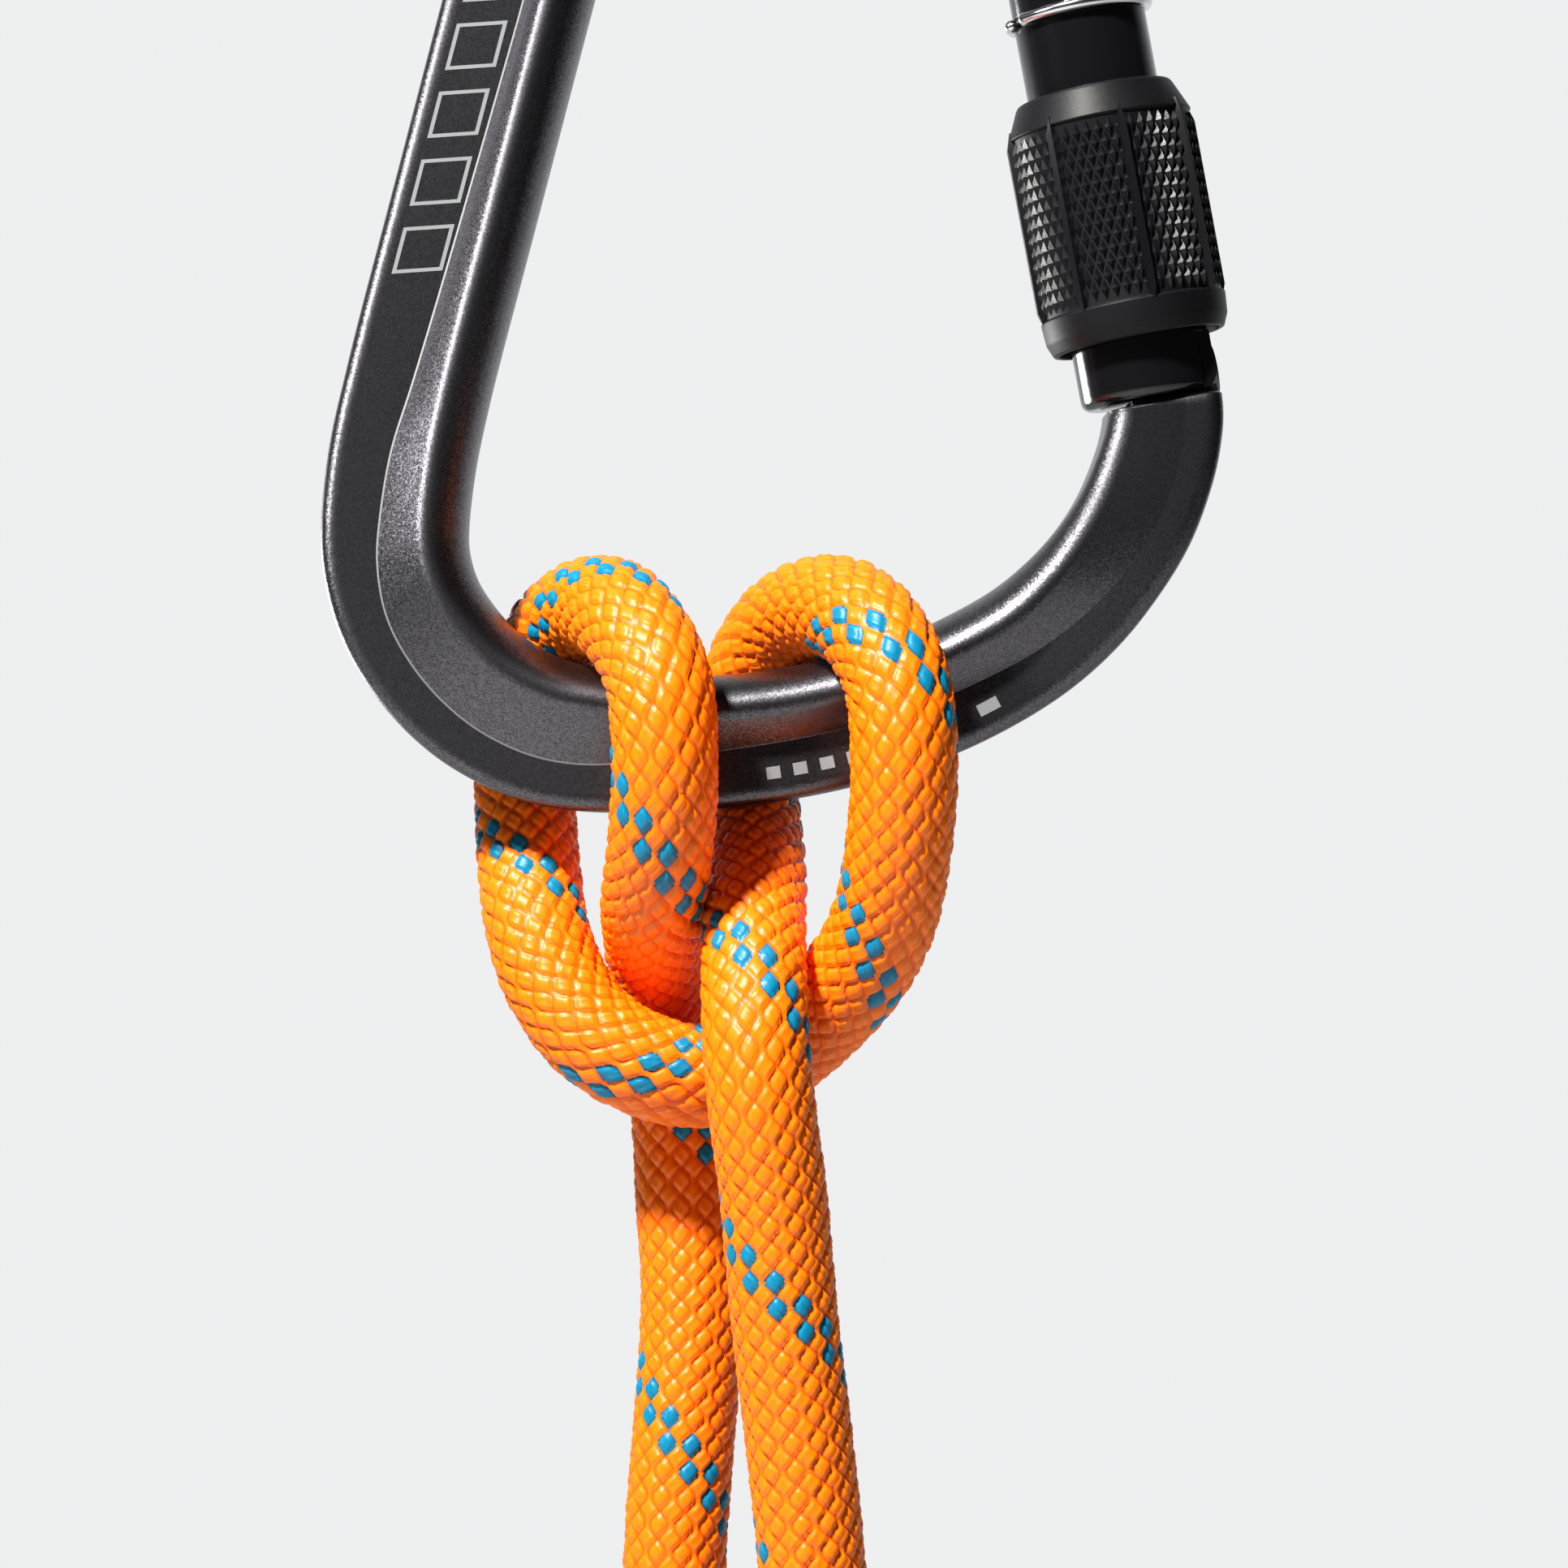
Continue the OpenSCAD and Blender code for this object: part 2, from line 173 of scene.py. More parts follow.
def skin(rings):
    """A solid skinned over rings of points, with a face at each end."""
    count, sides = len(rings), len(rings[0])
    faces = []
    for i in range(count - 1):
        for j in range(sides):
            k = (j + 1) % sides
            faces.append((i * sides + j, i * sides + k, (i + 1) * sides + k, (i + 1) * sides + j))
    faces.append(tuple(range(sides - 1, -1, -1)))
    faces.append(tuple((count - 1) * sides + j for j in range(sides)))
    return [p for ring in rings for p in ring], faces


def spline(knots, step):
    """Points a step apart on a smooth curve through the knots, with what else each knot carries."""
    knots = np.array(knots, float)
    ends = [2 * knots[0] - knots[1]], [2 * knots[-1] - knots[-2]]
    k = np.vstack([ends[0], knots, ends[1]])
    place = k[:, :3] if k.shape[1] == 3 else k[:, :2]
    t = np.concatenate([[0], np.cumsum(np.linalg.norm(np.diff(place, axis=0), axis=1) ** 0.5)])
    points = []
    for i in range(1, len(k) - 2):
        count = max(2, int(np.ceil(np.linalg.norm(place[i + 1] - place[i]) / step * 4)))
        for s in np.linspace(t[i], t[i + 1], count, endpoint=False):
            a = [(k[i + n] * (t[i + n - 1] - s) + k[i + n - 1] * (s - t[i + n])) / (t[i + n - 1] - t[i + n])
                 for n in (0, 1, 2)]
            b = [(a[n] * (t[i + n + 1] - s) + a[n + 1] * (s - t[i + n - 1])) / (t[i + n + 1] - t[i + n - 1])
                 for n in (0, 1)]
            points.append((b[0] * (t[i + 1] - s) + b[1] * (s - t[i])) / (t[i + 1] - t[i]))
    points = np.array(points + [k[-2]])
    far = np.concatenate([[0], np.cumsum(np.linalg.norm(
        np.diff(points[:, :place.shape[1]], axis=0), axis=1))])
    even = np.linspace(0, far[-1], max(2, round(far[-1] / step) + 1))
    return np.column_stack([np.interp(even, far, points[:, c]) for c in range(points.shape[1])]), even


# ---------------------------------------------------------------- rope

ROPE_D = 9.4 * MM
# The sheath's pads stand a little proud of the rope's nominal size
SHEATH_R = ROPE_D / 2 + 0.10 * MM
CARRIERS = 12
BRAID_PITCH = 28.7 * MM
CELL_STEPS = 6
PAD_HEIGHT = 0.42 * MM
TRACER = (3, 4)
# How far the sheath has turned about the rope, in degrees, at distances in mm along it
SHEATH_TURN = [(0, -80), (208, -82), (270, -155), (297, -182), (325, -188), (346, -252), (376, -285),
               (390, -266), (408, -318), (445, -248), (475, -230), (640, -230)]

# The centreline of the rope, from the tail in the front eye to the tail in the back eye
ROPE_ROUTE = [
    (0.5, -21, -192), (0.5, -21, -205), (0.5, -21.5, -216), (0.5, -26, -224), (0.5, -30.5, -232),
    (0.5, -31.5, -240.5), (0.5, -27, -249), (0.5, -16, -253.5), (0.5, -5, -249), (0.5, -0.5, -240.5),
    (0.5, -1.5, -232), (0.5, -6, -224), (0.5, -10.5, -216), (0.5, -11, -200),
    (0, -11, -180), (-2.5, -11, -157), (-3.5, -11.5, -146), (-4.5, -12, -138.5), (-5, -11, -132.5),
    (-5.15, -8, -127.5), (-5.25, -3.5, -123), (-5.15, 1.5, -119), (-5.5, 6, -115), (-6, 9, -110.5),
    (-6, 10.5, -105.5), (-5.5, 9.5, -101), (-3.5, 7, -97), (-1, 3.5, -95), (1.5, -0.5, -94.5),
    (4, -4.5, -95.5), (6, -8, -98), (7.5, -10, -101.5), (8, -11, -106.5), (8, -10.5, -112),
    (7.5, -9, -117), (6.5, -6.5, -122.5), (4, -3.5, -127.5), (0.5, -1, -131.5), (-3, 0, -134.5),
    (-7, 0, -136.5), (-11.5, -1, -137), (-16, -1.5, -135.5), (-20, -1, -133), (-23, 0.5, -129),
    (-25, 2.5, -124), (-26, 6, -118), (-26.5, 9, -112), (-26.5, 10.5, -106), (-25.5, 10, -101),
    (-24, 7.5, -97.5), (-21.5, 4, -95), (-19, 0, -94.5), (-17, -4, -95.5), (-15, -7.5, -98),
    (-13.5, -10, -101.5), (-13, -11, -106), (-13, -10.5, -111), (-13.5, -8, -116.5), (-14.25, -3.5, -121),
    (-14.25, 2, -124.5), (-14, 6, -128.5), (-13, 9, -134), (-12, 9.5, -141), (-11.5, 8.5, -149.5),
    (-11, 7.5, -159), (-12.5, 5, -181),
    (-13, 5, -200), (-13, 4.5, -216), (-13, 0, -224), (-13, -4.5, -232), (-13, -5.5, -240.5),
    (-13, -1, -249), (-13, 10, -253.5), (-13, 21, -249), (-13, 25.5, -240.5), (-13, 24.5, -232),
    (-13, 20, -224), (-13, 15.5, -216), (-13, 15, -205), (-13, 15, -192)]


def untwisted(line):
    """Two directions across the line at each point, carried along it without twisting."""
    way = np.gradient(line, axis=0)
    way /= np.linalg.norm(way, axis=1)[:, None]
    side = np.zeros_like(line)
    start = np.array([1.0, 0, 0])
    side[0] = start - way[0] * start.dot(way[0])
    side[0] /= np.linalg.norm(side[0])
    for i in range(1, len(line)):
        s = side[i - 1] - way[i] * side[i - 1].dot(way[i])
        side[i] = s / np.linalg.norm(s)
    return side, np.cross(way, side)


def turned_sides(sides, far):
    """The two directions across the line, turned with the sheath."""
    knots = np.array(SHEATH_TURN, float)
    turn = np.radians(np.interp(far / MM, knots[:, 0], knots[:, 1]))
    half = 40
    turn = np.convolve(np.pad(turn, half, mode="edge"), np.ones(2 * half + 1) / (2 * half + 1), mode="valid")
    c, s = np.cos(turn)[:, None], np.sin(turn)[:, None]
    return sides[0] * c + sides[1] * s, sides[1] * c - sides[0] * s


def softened(line, reach, step):
    """The line averaged over a short reach, its ends kept."""
    half = int(3 * reach / step)
    weight = np.exp(-0.5 * (np.arange(-half, half + 1) * step / reach) ** 2)
    weight /= weight.sum()
    padded = np.vstack([2 * line[0] - line[half:0:-1], line, 2 * line[-1] - line[-2:-half - 2:-1]])
    return np.column_stack([np.convolve(padded[:, c], weight, mode="valid") for c in range(3)])


def braid(line, sides, radius):
    """A sheath of two families of twin yarns, each going over one and under one of the other.
    Its mesh follows the crossings, so every groove between pads lies on edges."""
    rows, around = len(line), CARRIERS * CELL_STEPS
    m = np.repeat(np.arange(rows), around)
    n = 2 * np.tile(np.arange(around), rows) + m % 2
    turn = 2 * np.pi * n / (2 * around)
    a, b = (n + m) // 2, (n - m) // 2
    height = pad_height(a, b)
    uneven = np.random.default_rng(11).normal(1, 0.07, (97, 89))
    fullness = uneven[a // CELL_STEPS % 97, b // CELL_STEPS % 89]
    r = radius - PAD_HEIGHT * (1 - height * fullness)
    across = np.cos(turn)[:, None] * sides[0][m] + np.sin(turn)[:, None] * sides[1][m]
    points = line[m] + r[:, None] * across
    faces, tracer, lay = [], [], []
    index = np.arange(rows * around).reshape(rows, around)
    for row in range(rows - 2):
        j = np.arange(around)
        odd = row % 2
        upper_right = index[row + 1][(j + odd) % around]
        upper_left = index[row + 1][(j + odd - 1) % around]
        quads = np.column_stack([index[row][j], upper_right, index[row + 2][j], upper_left])
        faces.append(quads)
        nn = 2 * j + odd
        cell_a, cell_b = (nn + row) // 2 // CELL_STEPS, ((nn - row) // 2 - 1) // CELL_STEPS
        over_a = (cell_a + cell_b) % 2 == 0
        in_a, in_b = (nn + row) // 2 % CELL_STEPS, ((nn - row) // 2 - 1) % CELL_STEPS
        tip = ((in_a == 0) & (in_b == 0)) | ((in_a == CELL_STEPS - 1) & (in_b == CELL_STEPS - 1))
        tracer.append(over_a & ~tip & np.isin(cell_a % CARRIERS, TRACER))
        lay.append(yarn_lay((nn + row) // 2, (nn - row) // 2, cell_a, cell_b, over_a))
    return points, height, np.vstack(faces), np.concatenate(tracer), np.concatenate(lay), index


def yarn_lay(a, b, cell_a, cell_b, over_a):
    """Where each corner of each face lies along and across its yarns, a strand being one wide."""
    corner_a = np.column_stack([a, a + 1, a + 1, a]) / CELL_STEPS
    corner_b = np.column_stack([b, b, b - 1, b - 1]) / CELL_STEPS
    along = np.where(over_a[:, None], corner_b, corner_a)
    across = np.where(over_a[:, None], corner_a, corner_b)
    return np.dstack([along, across + 7.3 * np.where(over_a, cell_a, cell_b)[:, None]])


def pad_height(a, b):
    """Height over each crossing: the upper strand's two yarns bulge, with a seam between them, and
    the crossing strands meet over the narrow tips of the pads that lean left."""
    u, v = a % CELL_STEPS / CELL_STEPS, b % CELL_STEPS / CELL_STEPS
    left_over = (a // CELL_STEPS + b // CELL_STEPS) % 2 == 0
    along, across = np.where(left_over, v, u), np.where(left_over, u, v)
    arch = 1 - np.abs(2 * along - 1) ** 3.4
    shoulder = 1 - np.abs(2 * across - 1) ** 4.5
    seam = 1 - 0.30 * np.exp(-((across - 0.5) / 0.09) ** 2)
    height = np.clip(arch * shoulder, 0, 1) ** 0.8 * seam
    half = CELL_STEPS // 2
    near_a, near_b = (a + half) % CELL_STEPS - half, (b + half) % CELL_STEPS - half
    corner_a, corner_b = (a - near_a) // CELL_STEPS, (b - near_b) // CELL_STEPS
    tip = (corner_a + corner_b) % 2 == 0
    apart = np.abs(near_a) + np.abs(near_b)
    height = np.where(tip & (apart == 0), 0.60, height)
    height = np.where(tip & (apart == 1), 0.22, height)
    return np.where(tip & (near_a == near_b) & (apart == 2), 0.05, height)


def end_faces(index):
    """The small faces that close the sheath's two ragged ends."""
    rows, around = index.shape
    faces = []
    for row, inner, turn in ((0, index[1], 1), (rows - 1, index[rows - 2], -1)):
        odd = row % 2
        for j in range(around):
            between = inner[(j + odd) % around]
            faces.append((index[row][j], index[row][(j + 1) % around], between)[::turn])
        faces.append(tuple(int(i) for i in index[row][::-turn]))
    return faces


def rope(material, frame_surface):
    """The hitched rope, pressed flat where it bears on itself and on the bar."""
    step = BRAID_PITCH / (2 * CARRIERS * CELL_STEPS)
    line, _ = spline(np.array(ROPE_ROUTE, float) * MM, step)
    line = softened(line, 1.6 * MM, step)
    line, far = spline(line[::6], step)
    sides = turned_sides(untwisted(line), far)
    points, height, quads, tracer, lay, index = braid(line, sides, SHEATH_R)
    points = clear_of_itself(points, line, step, index.shape[1])
    points = clear_of_surface(points, frame_surface, 0.04 * MM)
    ends = end_faces(index)
    made = smooth_mesh("rope_sheath", points, [tuple(q) for q in quads.tolist()] + ends, material)
    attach(made, "frame")
    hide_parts("rope")
    blue = made.data.attributes.new("tracer", "FLOAT", "FACE")
    blue.data.foreach_set("value", np.concatenate([tracer, np.zeros(len(ends))]).astype(np.float32))
    raised = made.data.attributes.new("height", "FLOAT", "POINT")
    raised.data.foreach_set("value", height.astype(np.float32))
    chart = made.data.uv_layers.new(name="lay")
    corners = np.zeros((len(made.data.loops), 2), np.float32)
    corners[:lay.shape[0] * 4] = lay.reshape(-1, 2)
    chart.data.foreach_set("uv", corners.ravel())


def clear_of_itself(points, line, step, around):
    """Flattens the rope where it lies against another of its own strands."""
    tree = KDTree(len(line))
    for i, p in enumerate(line):
        tree.insert(p, i)
    tree.balance()
    apart = int(14 * MM / step)
    for i, p in enumerate(line):
        near = [(d, j) for _, j, d in tree.find_range(p, ROPE_D + 0.3 * MM) if abs(i - j) > apart]
        if not near:
            continue
        gap, j = min(near)
        toward = (line[j] - p) / gap
        rows = slice(i * around, (i + 1) * around)
        depth = (points[rows] - p) @ toward - gap / 2
        points[rows] -= np.clip(depth, 0, None)[:, None] * toward
    return points


def clear_of_surface(points, surface, gap):
    """Presses the rope flat where it bears on the bar."""
    low, high = surface["box"]
    inside = np.all((points > low - 0.001) & (points < high + 0.001), axis=1)
    for i in np.flatnonzero(inside):
        place, normal, _, _ = surface["tree"].find_nearest(Vector(points[i]), 0.004)
        if place is not None and (Vector(points[i]) - place).dot(normal) < gap:
            points[i] = place + normal * gap
    return points


# ---------------------------------------------------------------- turned and cut solids

def rounded(corners, arcs=5):
    """A polyline through corners (x, y, radius), each corner turned into an arc of that radius."""
    line = [corners[0][:2]]
    for before, here, after in zip(corners, corners[1:], corners[2:]):
        p = Vector(here[:2])
        back, on = Vector(before[:2]) - p, Vector(after[:2]) - p
        bend = back.angle(on)
        if here[2] <= 0:
            line.append(tuple(p))
            continue
        reach = min(max(0.03, here[2] / math.tan(bend / 2)), 0.48 * back.length, 0.48 * on.length)
        first, last = p + back.normalized() * reach, p + on.normalized() * reach
        for i in range(arcs + 1):
            t = i / arcs
            line.append(tuple(first * (1 - t) ** 2 + 2 * p * t * (1 - t) + last * t * t))
    return line + [corners[-1][:2]]


def turned(profile, sides=128):
    """A solid turned about z, from a profile (radius, z) in mm that ends on the axis or closes."""
    looped = profile[0][0] > 1e-6
    n = len(profile)
    points, faces = [], []
    for i in range(sides):
        a = 2 * math.pi * i / sides
        points += [(r * math.cos(a), r * math.sin(a), z) for r, z in profile]
    for i in range(sides):
        for j in range(n if looped else n - 1):
            a, b, k = i * n, (i + 1) % sides * n, (j + 1) % n
            faces.append((a + j, b + j, b + k, a + k))
    return points, faces


def laid_along(axis, shape):
    """A shape turned about z, laid along another axis."""
    points, faces = shape
    if axis == "x":
        points = [(z, y, -x) for x, y, z in points]
    elif axis == "y":
        points = [(x, -z, y) for x, y, z in points]
    return points, faces


def cylinder(radius, low, high, axis="z", sides=96):
    """A plain cylinder along one axis, from low to high."""
    return laid_along(axis, turned([(0, low), (radius, low), (radius, high), (0, high)], sides))


def moved(shape, x, y, z):
    """The shape, moved."""
    return [(px + x, py + y, pz + z) for px, py, pz in shape[0]], shape[1]


def block(low, high):
    """A box between two opposite corners."""
    points = [(x, y, z) for x in (low[0], high[0]) for y in (low[1], high[1]) for z in (low[2], high[2])]
    return points, [(0, 1, 3, 2), (4, 6, 7, 5), (0, 4, 5, 1), (2, 3, 7, 6), (0, 2, 6, 4), (1, 5, 7, 3)]


def joined(*parts):
    """Several shapes as one list of points and one of faces."""
    points, faces = [], []
    for p, f in parts:
        faces += [tuple(i + len(points) for i in face) for face in f]
        points += list(p)
    return points, faces


def solid(name, shape):
    """A mesh in mm as an object, with no doubled points and every face turned outwards."""
    mesh = bpy.data.meshes.new(name)
    mesh.from_pydata(shape[0], [], shape[1])
    made = bmesh.new()
    made.from_mesh(mesh)
    bmesh.ops.remove_doubles(made, verts=made.verts, dist=1e-5)
    bmesh.ops.dissolve_degenerate(made, dist=1e-6, edges=made.edges)
    bmesh.ops.recalc_face_normals(made, faces=made.faces)
    made.to_mesh(mesh)
    made.free()
    obj = bpy.data.objects.new(name, mesh)
    scene.collection.objects.link(obj)
    return obj


def settled(obj):
    """The object's modifiers made into its mesh."""
    graph = bpy.context.evaluated_depsgraph_get()
    mesh = bpy.data.meshes.new_from_object(obj.evaluated_get(graph))
    obj.modifiers.clear()
    obj.data = mesh
    return obj


def carved_by(obj, tool, how):
    """Cuts, adds or keeps what another object covers, and removes that object."""
    step = obj.modifiers.new("cut", "BOOLEAN")
    step.object, step.operation, step.solver = tool, how, "EXACT"
    settled(obj)
    bpy.data.objects.remove(tool)
    return obj


def carved(obj, tool_shape, how="DIFFERENCE"):
    """The same, with a shape that isn't an object yet."""
    return carved_by(obj, solid("tool", tool_shape), how)


def softened_edges(obj, width, angle=35, segments=2):
    """Small rounds along the crisp edges, width in mm."""
    bevel = obj.modifiers.new("round", "BEVEL")
    bevel.width, bevel.segments, bevel.limit_method = width, segments, "ANGLE"
    bevel.angle_limit = math.radians(angle)
    return settled(obj)


def fitted(obj, material, body, nodes, matrix=None, crease=38):
    """Puts a solid made in mm in its place in the row, with its finish and its body."""
    scale = Matrix.Scale(MM, 4)
    obj.data.transform((matrix or Matrix.Identity(4)) @ scale)
    obj.data.materials.clear()
    obj.data.materials.append(material)
    obj.data.polygons.foreach_set("use_smooth", [True] * len(obj.data.polygons))
    obj.data.set_sharp_from_angle(angle=math.radians(crease))
    obj.data.update()
    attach(obj, body)
    if nodes:
        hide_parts(*nodes)
    return obj


# ---------------------------------------------------------------- frame

# The middle of the hinge's rivet, and the narrow bow's radius and centre height, in mm
PIN = [round(v / MM, 4) for v in HINGE]
BOW_R, BOW_Z = 18.5, -12
# The height of the nose key's middle in the gate's own frame, and half the thickness of the tongue
KEY_Z, TONGUE_HALF = -61.6, 2.3
# Bar width, flange width, flange half-thickness and rib half-thickness along the narrow bow
HINGE_END, BOW_MID, SPINE_BAR = (11.6, 3.6, 5.0, 5.4), (12.8, 6.6, 3.4, 6.0), (13.1, 7.2, 3.3, 6.0)
# The rest of the bar, down the spine, along the wide bow and up to the nose: x, z and the same four
BAR_BY_HAND = [
    (-22.0, -23.0, 13.1, 7.2, 3.3, 6.0), (-26.5, -40.0, 13.1, 7.2, 3.3, 6.0),
    (-31.2, -58.0, 13.1, 6.8, 3.3, 6.0), (-34.1, -69.0, 13.1, 6.5, 3.3, 6.0),
    (-35.6, -75.0, 13.1, 6.2, 3.3, 6.0), (-36.9, -81.0, 13.2, 5.7, 3.3, 6.0),
    (-37.6, -87.0, 13.2, 5.4, 3.3, 6.0), (-37.4, -91.0, 13.2, 5.0, 3.3, 6.0),
    (-36.2, -95.0, 13.3, 4.6, 3.3, 6.0), (-34.0, -98.6, 13.4, 4.4, 3.3, 6.0),
    (-31.2, -101.7, 13.4, 4.3, 3.3, 6.0), (-28.0, -104.0, 13.4, 4.2, 3.3, 6.0),
    (-24.0, -105.8, 13.3, 4.2, 3.3, 6.0), (-19.5, -106.6, 13.1, 4.3, 3.3, 6.0),
    (-14.0, -106.9, 12.5, 4.8, 3.3, 6.0), (-8.5, -106.8, 12.1, 5.2, 3.3, 6.0),
    (-2.0, -106.0, 11.9, 5.3, 3.3, 6.0), (4.0, -104.7, 11.8, 5.3, 3.3, 6.0),
    (10.0, -102.8, 11.7, 5.2, 3.3, 6.0), (15.2, -100.4, 11.6, 5.0, 3.4, 6.0),
    (19.8, -97.6, 11.4, 4.6, 3.7, 5.9), (23.6, -94.3, 11.2, 4.2, 4.2, 5.8),
    (26.7, -90.6, 10.9, 3.8, 4.7, 5.6), (29.1, -86.7, 10.8, 3.6, 5.0, 5.5),
    (30.8, -82.4, 10.6, 3.5, 5.1, 5.4), (31.6, -79.0, 10.4, 3.5, 5.1, 5.4),
    (31.7, -76.5, 10.3, 3.5, 5.1, 5.4)]
BAR_END_LEAD = (31.1, -73.0, 10.3, 3.5, 5.1, 5.4)


def bar_line(steps=8):
    """The bar's stations from the hinge over the narrow bow and round to the nose, finely spaced."""
    def on_bow(a, shape):
        return (BOW_R * math.cos(a), BOW_Z + BOW_R * math.sin(a), *shape)
    bow = []
    for degrees in range(15, 166, 10):
        t = (degrees - 15) / 75
        shape = [np.interp(t, (0, 1, 2), sizes) for sizes in zip(HINGE_END, BOW_MID, SPINE_BAR)]
        bow.append(on_bow(math.radians(degrees), shape))
    lead = on_bow(math.radians(5), HINGE_END)
    k = np.array([lead] + bow + BAR_BY_HAND + [BAR_END_LEAD])
    line = []
    for i in range(1, len(k) - 2):
        a, b, c, d = k[i - 1], k[i], k[i + 1], k[i + 2]
        for t in np.arange(steps) / steps:
            line.append((2 * b + (c - a) * t + (2 * a - 5 * b + 4 * c - d) * t ** 2
                         + (3 * b - a - 3 * c + d) * t ** 3) / 2)
    return np.array(line + [k[-2]])


def half_section(w, flange, f, t):
    """The bar's section from mid-height on the outer edge, over the front face, to the inner edge.
    The flange dips a little towards the rib; both fade to a flat block near the hinge and the nose."""
    ribbed = min(1, max(0, (t - f - 0.3) / 2.1))
    reach, drop = 2.2 + 1.1 * ribbed, 2.0 + (t - 2.0) * ribbed
    crest, dip = w / 2 - reach, 0.05 * (flange - 1.5) * ribbed
    round_in = [(crest + reach * math.cos(a), t - drop * (1 - math.sin(a)), 0)
                for a in np.radians(np.linspace(90 + 18 * ribbed, 6, 16))]
    return rounded([(-w / 2, 0, 0), (-w / 2, f + dip, 1.7), (-w / 2 + flange, f - dip, 0.12)]
                   + round_in + [(w / 2, 0, 0)], arcs=10)


def front_face(shape):
    """The heights of the section's front face up to the rib's crest, as a function of u."""
    half = np.array(half_section(*shape))
    half = half[:len(half) * 2 // 3]
    return lambda u: np.interp(u, half[:, 0], half[:, 1])


def full_section(shape):
    half = half_section(*shape)
    return half + [(u, -v) for u, v in half[-2:0:-1]]


def bar_ways(line):
    """The bar's direction at each station, its last one along the gate."""
    way = np.gradient(line[:, :2], axis=0)
    way /= np.linalg.norm(way, axis=1)[:, None]
    way[-1] = (-math.sin(GATE_LEAN), math.cos(GATE_LEAN))
    return way


def on_bar(station, way, u, v):
    """A point u across the bar from its middle, inwards, and v out of its middle plane to the front."""
    return (station[0] - way[1] * u, -v, station[1] + way[0] * u)


def frame_bar(material):
    """The forged bar, its nose end a little rounded."""
    line = bar_line()
    way = bar_ways(line)
    rings = [[on_bar(s, w, u, v) for u, v in full_section(s[2:])] for s, w in zip(line, way)]
    end, back = line[-1], way[-1]
    for shrink, push in ((0.985, 0.12), (0.94, 0.28)):
        beyond = end[:2] + back * push
        rings.append([on_bar(beyond, back, u * shrink, v * shrink) for u, v in full_section(end[2:])])
    bar = solid("frame_bar", skin(rings))
    return fitted(bar, material, "frame", ["frame"], crease=60)


def distances(line):
    """How far each of the bar's stations lies along its middle line."""
    return np.concatenate([[0], np.cumsum(np.linalg.norm(np.diff(line[:, :2], axis=0), axis=1))])


def on_face(line, way, along, inward, lift):
    """A point on the bar's front face, so far along its middle line and in from its outer edge."""
    far = distances(line)
    station = [np.interp(along, far, line[:, c]) for c in range(line.shape[1])]
    at = [np.interp(along, far, way[:, c]) for c in range(2)]
    u = inward - station[2] / 2
    return on_bar(station, at, u, front_face(station[2:])(u) + lift)


def plate(line, way, outer, hole=None, lift=0.03):
    """A thin mark on the bar: a loop of (along, inward) corners, or the band between it and a hole."""
    def fine(loop):
        return [tuple(np.array(p) + (np.array(q) - p) * t) for p, q in zip(loop, loop[1:] + loop[:1])
                for t in np.arange(6) / 6]
    loops = [fine(outer), fine(hole)] if hole else [fine(outer)]
    n = len(loops[0])
    points = [on_face(line, way, *corner, h) for h in (lift, -0.12) for loop in loops for corner in loop]
    if not hole:
        middle = np.mean(loops[0], axis=0)
        points += [on_face(line, way, *middle, h) for h in (lift, -0.12)]
    faces = []
    for j in range(n):
        k = (j + 1) % n
        if hole:
            faces += [(j, k, n + k, n + j), (2 * n + j, 3 * n + j, 3 * n + k, 2 * n + k),
                      (j, 2 * n + j, 2 * n + k, k), (n + j, n + k, 3 * n + k, 3 * n + j)]
        else:
            faces += [(j, k, 2 * n), (n + k, n + j, 2 * n + 1), (j, n + j, n + k, k)]
    return points, faces


def flange_edge(material):
    """The fine bright line where the flange meets the rib, down the spine and round the wide bend: a thin
    strip a hair proud, its lighter colour a painted highlight.
    """
    line = bar_line()
    way = bar_ways(line)
    ribbed = np.flatnonzero((line[:, 5] - line[:, 4] > 1.4) & (line[:, 0] < -10))
    rings = []
    for i in range(ribbed[0], ribbed[-1] + 1):
        height = front_face(line[i, 2:])
        outer = line[i, 3] - line[i, 2] / 2 - 0.10
        inner = outer + 0.17
        corners = [(outer, 0.02), (inner, 0.02), (inner, -0.13), (outer, -0.13)]
        rings.append([on_bar(line[i], way[i], u, height(u) + lift) for u, lift in corners])
    edge = solid("frame_edge_line", skin(rings))
    return fitted(edge, material, "frame", [], crease=30)


def leaning_outline(end, length=4.3, low=2.0, high=6.3, lean=1.5, stroke=0.34):
    """The outer and inner loop of one outlined leaning bar, which ends so far along the frame."""
    slant = stroke * lean / (high - low)
    outer = [(end, low), (end - length, low), (end - length - lean, high), (end - lean, high)]
    hole = [(end - stroke - slant, low + stroke),
            (end - length + stroke - slant, low + stroke),
            (end - length - lean + stroke + slant, high - stroke),
            (end - lean - stroke + slant, high - stroke)]
    return outer, hole


